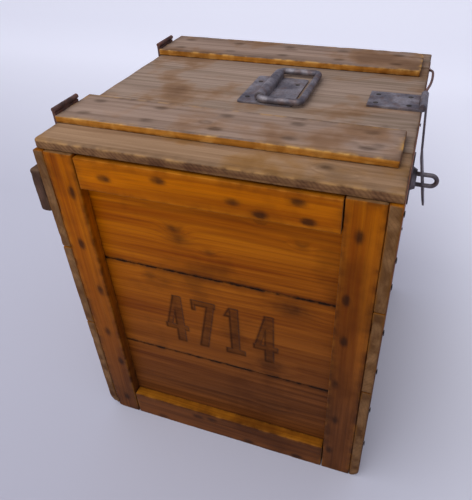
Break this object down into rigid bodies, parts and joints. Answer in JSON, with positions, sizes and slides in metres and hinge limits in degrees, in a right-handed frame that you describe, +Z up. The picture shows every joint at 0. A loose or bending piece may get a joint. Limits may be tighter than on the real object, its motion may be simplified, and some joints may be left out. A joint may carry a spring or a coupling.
{
  "type": "egg crate with hinged lid",
  "caption": "Square wooden carrying crate for eggs with panelled ends, a battened lid on iron hinges, a slotted hasp over a wire staple, and a ring handle lying flat on top.",
  "frame": {"origin": "middle of the crate's underside, where it rests", "axes": "+X from the hinge side to the hasp side, +Y from the front to the back, +Z up"},
  "size_m": [0.372, 0.34, 0.4031],
  "materials": {
    "varnished_wood": "old amber varnish, worn",
    "weathered_wood": "weathered grey-brown, rough-sawn",
    "fitting_iron": "dark, rubbed, light rust",
    "hinge_iron": "dark brown rust",
    "nail_iron": "dark, dull",
    "screw_iron": "dark, dull",
    "wire_iron": "blackened"
  },
  "bodies": {
    "crate": {"back_frame_nails": "nail_iron", "back_panel_low": "varnished_wood", "back_panel_middle": "varnished_wood", "back_panel_top": "varnished_wood", "back_rail_bottom": "varnished_wood", "back_rail_top": "varnished_wood", "back_stile_hasp_side": "varnished_wood", "back_stile_hinge_side": "varnished_wood", "cleat": "varnished_wood", "cleat_nails": "nail_iron", "floor_board_1": "varnished_wood", "floor_board_2": "varnished_wood", "floor_board_3": "varnished_wood", "floor_nails": "nail_iron", "front_frame_nails": "nail_iron", "front_panel_low": "varnished_wood", "front_panel_middle": "varnished_wood", "front_panel_top": "varnished_wood", "front_rail_bottom": "varnished_wood", "front_rail_top": "varnished_wood", "front_stile_hasp_side": "varnished_wood", "front_stile_hinge_side": "varnished_wood", "hasp_side_board_low": "varnished_wood", "hasp_side_board_middle": "varnished_wood", "hasp_side_board_top": "varnished_wood", "hinge_body_screws": "screw_iron", "hinge_front_body_leaf": "hinge_iron", "hinge_front_pin": "hinge_iron", "hinge_rear_body_leaf": "hinge_iron", "hinge_rear_pin": "hinge_iron", "hinge_side_board_low": "varnished_wood", "hinge_side_board_middle": "varnished_wood", "hinge_side_board_top": "varnished_wood", "side_nails": "nail_iron", "staple": "fitting_iron", "staple_plate": "fitting_iron", "staple_screws": "screw_iron"},
    "lid": {"lid_board_front": "weathered_wood", "lid_board_middle": "weathered_wood", "lid_board_rear": "weathered_wood", "batten_front": "weathered_wood", "batten_rear": "weathered_wood", "batten_nails": "nail_iron", "hinge_front_lid_leaf": "hinge_iron", "hinge_rear_lid_leaf": "hinge_iron", "hinge_lid_screws": "screw_iron", "hasp_leaf": "fitting_iron", "hasp_screws": "screw_iron", "hasp_pin": "fitting_iron", "handle_plate": "fitting_iron", "handle_screws": "screw_iron", "keeper_wire": "wire_iron"},
    "hasp": {"hasp_strap": "fitting_iron"},
    "bail": {"bail": "fitting_iron"}
  },
  "joints": [
    {"name": "lid_hinge", "type": "hinge", "parent": "crate", "child": "lid", "pos_m": [-0.1661, 0, 0.4008], "axis": [0, -1, 0], "range_deg": [0, 252]},
    {"name": "hasp_hinge", "type": "hinge", "parent": "lid", "child": "hasp", "pos_m": [0.165, 0.004, 0.39265], "axis": [0, -1, 0], "range_deg": [0, 230]},
    {"name": "bail_hinge", "type": "hinge", "parent": "lid", "child": "bail", "pos_m": [0.0073, 0.0064, 0.3944], "axis": [0, -1, 0], "range_deg": [0, 180]}
  ]
}
